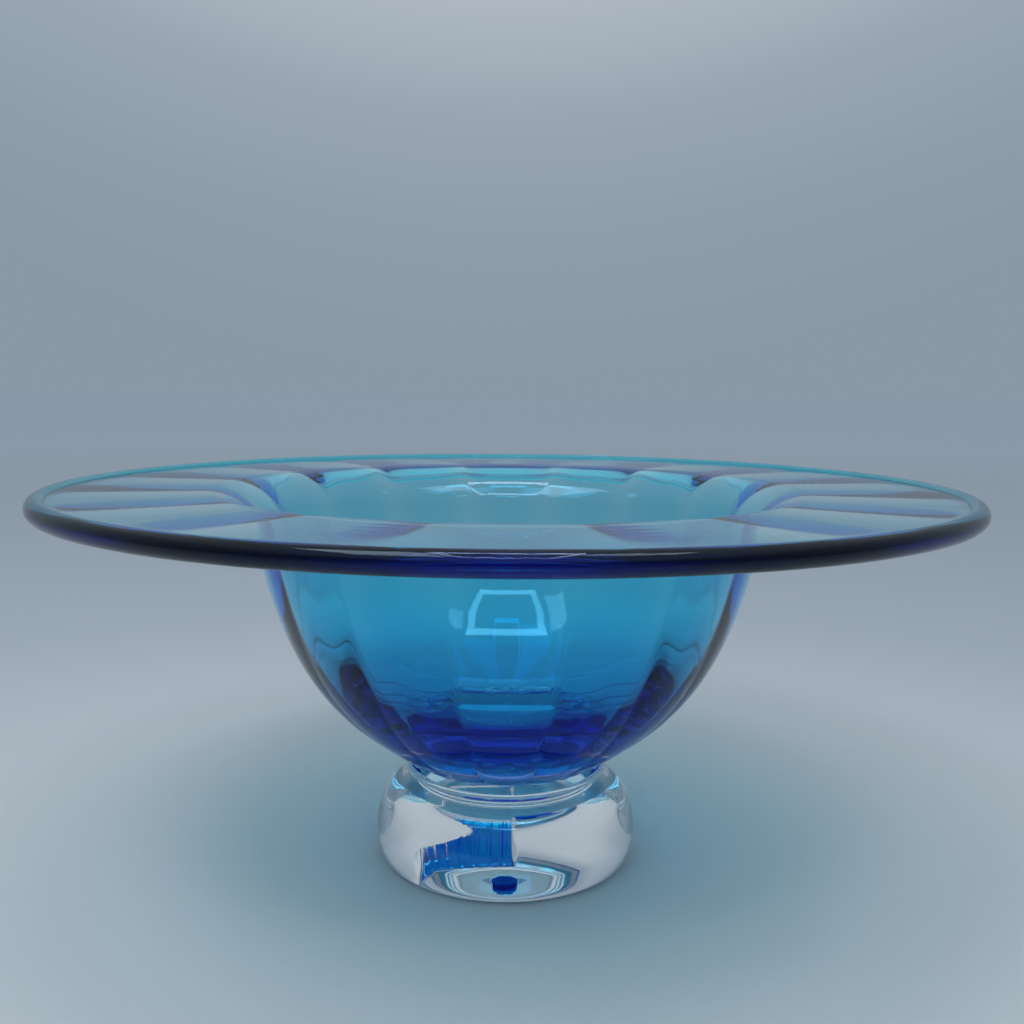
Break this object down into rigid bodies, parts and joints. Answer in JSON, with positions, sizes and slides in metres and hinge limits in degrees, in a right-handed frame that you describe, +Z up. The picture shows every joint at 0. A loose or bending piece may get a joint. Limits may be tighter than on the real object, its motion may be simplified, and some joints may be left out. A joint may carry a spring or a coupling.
{
  "type": "footed glass bowl",
  "caption": "Transparent blue optic-ribbed glass bowl with a wide flat flanged rim and rolled lip, on a clear collar and thick clear cushion foot.",
  "frame": {"origin": "middle of the resting face of the foot", "axes": "+Z up along the bowl's axis; the ribbed mould repeats every 22.5 degrees round it, with a lobe's crest on -Y, the side seen first"},
  "size_m": [0.305, 0.3048, 0.131],
  "materials": {
    "blue_glass": "fire-polished transparent cobalt to aqua blue",
    "clear_casing_glass": "fire-polished, optic-ribbed, water clear",
    "rim_glass": "fire-polished deep blue",
    "collar_glass": "fire-polished, water clear",
    "foot_glass": "fire-polished, water clear, base ground flat"
  },
  "bodies": {
    "root": {"blue_lining": "blue_glass", "clear_casing": "clear_casing_glass", "rolled_rim": "rim_glass", "collar": "collar_glass", "foot": "foot_glass"}
  },
  "joints": []
}
